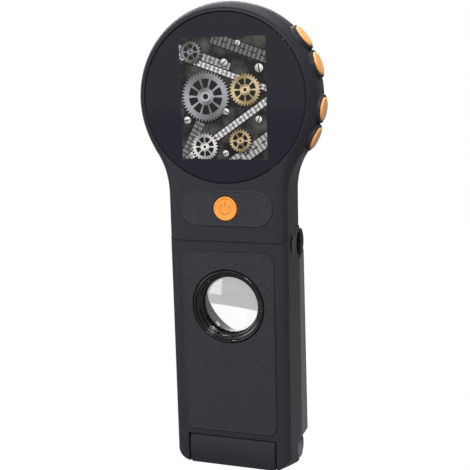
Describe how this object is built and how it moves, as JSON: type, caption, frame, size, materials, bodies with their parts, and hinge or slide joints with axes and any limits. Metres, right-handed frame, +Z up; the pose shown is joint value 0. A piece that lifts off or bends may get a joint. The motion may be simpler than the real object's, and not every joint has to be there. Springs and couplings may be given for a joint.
{
  "type": "lcd digital microscope",
  "caption": "Handheld digital microscope: round screen head, sprung buttons, focus ring and camera behind, loupe in the handle, and a column and leg that fold out into a stand.",
  "frame": {"origin": "on the flat foot, the lower end of the handle, in the middle of its width", "axes": "+X to the reader's right, +Y from the screen side to the lens side, +Z up along the handle to the round head"},
  "size_m": [0.0799, 0.0462, 0.1985],
  "materials": {
    "housing": "satin",
    "leg_housing": "satin",
    "black_window": "polished",
    "display": "smooth",
    "steel": "plain",
    "dark_steel": "blackened",
    "circuit_board": "smooth",
    "chip": "matt",
    "battery_foil": "foil",
    "orange_button": "satin",
    "grip": "fine grain",
    "black_plastic": "matt",
    "black_gloss": "gloss",
    "lens_glass": "polished",
    "clear_plastic": "frosted",
    "white_board": "smooth",
    "lamp": "clear",
    "foot_rubber": "matt"
  },
  "bodies": {
    "head": {"front_shell": "housing", "rear_shell": "housing", "screen_glass": "black_window", "lcd_panel": "display", "lcd_bracket": "steel", "main_board": "circuit_board", "board_chips": "chip", "battery_pack": "battery_foil", "side_key_board": "circuit_board", "side_switches": "steel", "button_pad": "grip", "power_board": "circuit_board", "port_board": "circuit_board", "usb_socket": "steel", "card_socket": "steel", "shell_screws": "dark_steel", "sensor_board": "circuit_board", "camera_barrel": "black_plastic", "barrel_cap": "black_plastic", "led_board": "white_board", "lamps": "lamp", "light_shroud": "clear_plastic", "swing_pin": "steel", "swing_washers": "steel"},
    "focus": {"focus_ring": "grip"},
    "lens": {"lens_cell": "black_plastic", "objective_lens": "lens_glass"},
    "side_button_1": {"side_button_1": "orange_button"},
    "side_button_2": {"side_button_2": "orange_button"},
    "side_button_3": {"side_button_3": "orange_button"},
    "side_button_4": {"side_button_4": "orange_button"},
    "power_button": {"power_button": "orange_button"},
    "column": {"column_shell": "housing", "column_cover": "housing", "grip_panel": "grip", "hinge_cover": "housing", "side_plugs": "housing", "loupe_ring": "black_gloss", "loupe_lens": "lens_glass", "loupe_tube": "black_plastic", "cover_screws": "dark_steel", "leg_pin": "steel", "leg_washers": "steel"},
    "leg": {"leg_plate": "leg_housing", "stage_plate": "leg_housing", "leg_feet": "foot_rubber"}
  },
  "joints": [
    {"name": "focus_turn", "type": "hinge", "parent": "head", "child": "focus", "pos_m": [0, 0.0208, 0.1595], "axis": [0, 1, 0], "range_deg": [0, 150]},
    {"name": "lens_move", "type": "slide", "parent": "head", "child": "lens", "axis": [0, 1, 0], "range_m": [0, 0.0024]},
    {"name": "side_button_1_press", "type": "slide", "parent": "head", "child": "side_button_1", "axis": [-0.7986, 0, -0.6018], "range_m": [0, 0.0006], "stiffness_N_per_m": 1500, "springref_m": -0.0006},
    {"name": "side_button_2_press", "type": "slide", "parent": "head", "child": "side_button_2", "axis": [-0.9438, 0, -0.3305], "range_m": [0, 0.0006], "stiffness_N_per_m": 1500, "springref_m": -0.0006},
    {"name": "side_button_3_press", "type": "slide", "parent": "head", "child": "side_button_3", "axis": [-0.9923, 0, 0.1236], "range_m": [0, 0.0006], "stiffness_N_per_m": 1500, "springref_m": -0.0006},
    {"name": "side_button_4_press", "type": "slide", "parent": "head", "child": "side_button_4", "axis": [-0.9078, 0, 0.4194], "range_m": [0, 0.0006], "stiffness_N_per_m": 1500, "springref_m": -0.0006},
    {"name": "power_press", "type": "slide", "parent": "head", "child": "power_button", "axis": [0, 1, 0], "range_m": [0, 0.0006], "stiffness_N_per_m": 1500, "springref_m": -0.0006},
    {"name": "column_swing", "type": "hinge", "parent": "head", "child": "column", "pos_m": [0, 0.0112, 0.0969], "axis": [1, 0, 0], "range_deg": [0, 90]},
    {"name": "leg_fold", "type": "hinge", "parent": "column", "child": "leg", "pos_m": [0, 0.0088, 0.005], "axis": [-1, 0, 0], "range_deg": [0, 90]}
  ],
  "couplings": [
    {"joint": "lens_move", "follows": "focus_turn", "m_per_rad": 0.00091673}
  ]
}
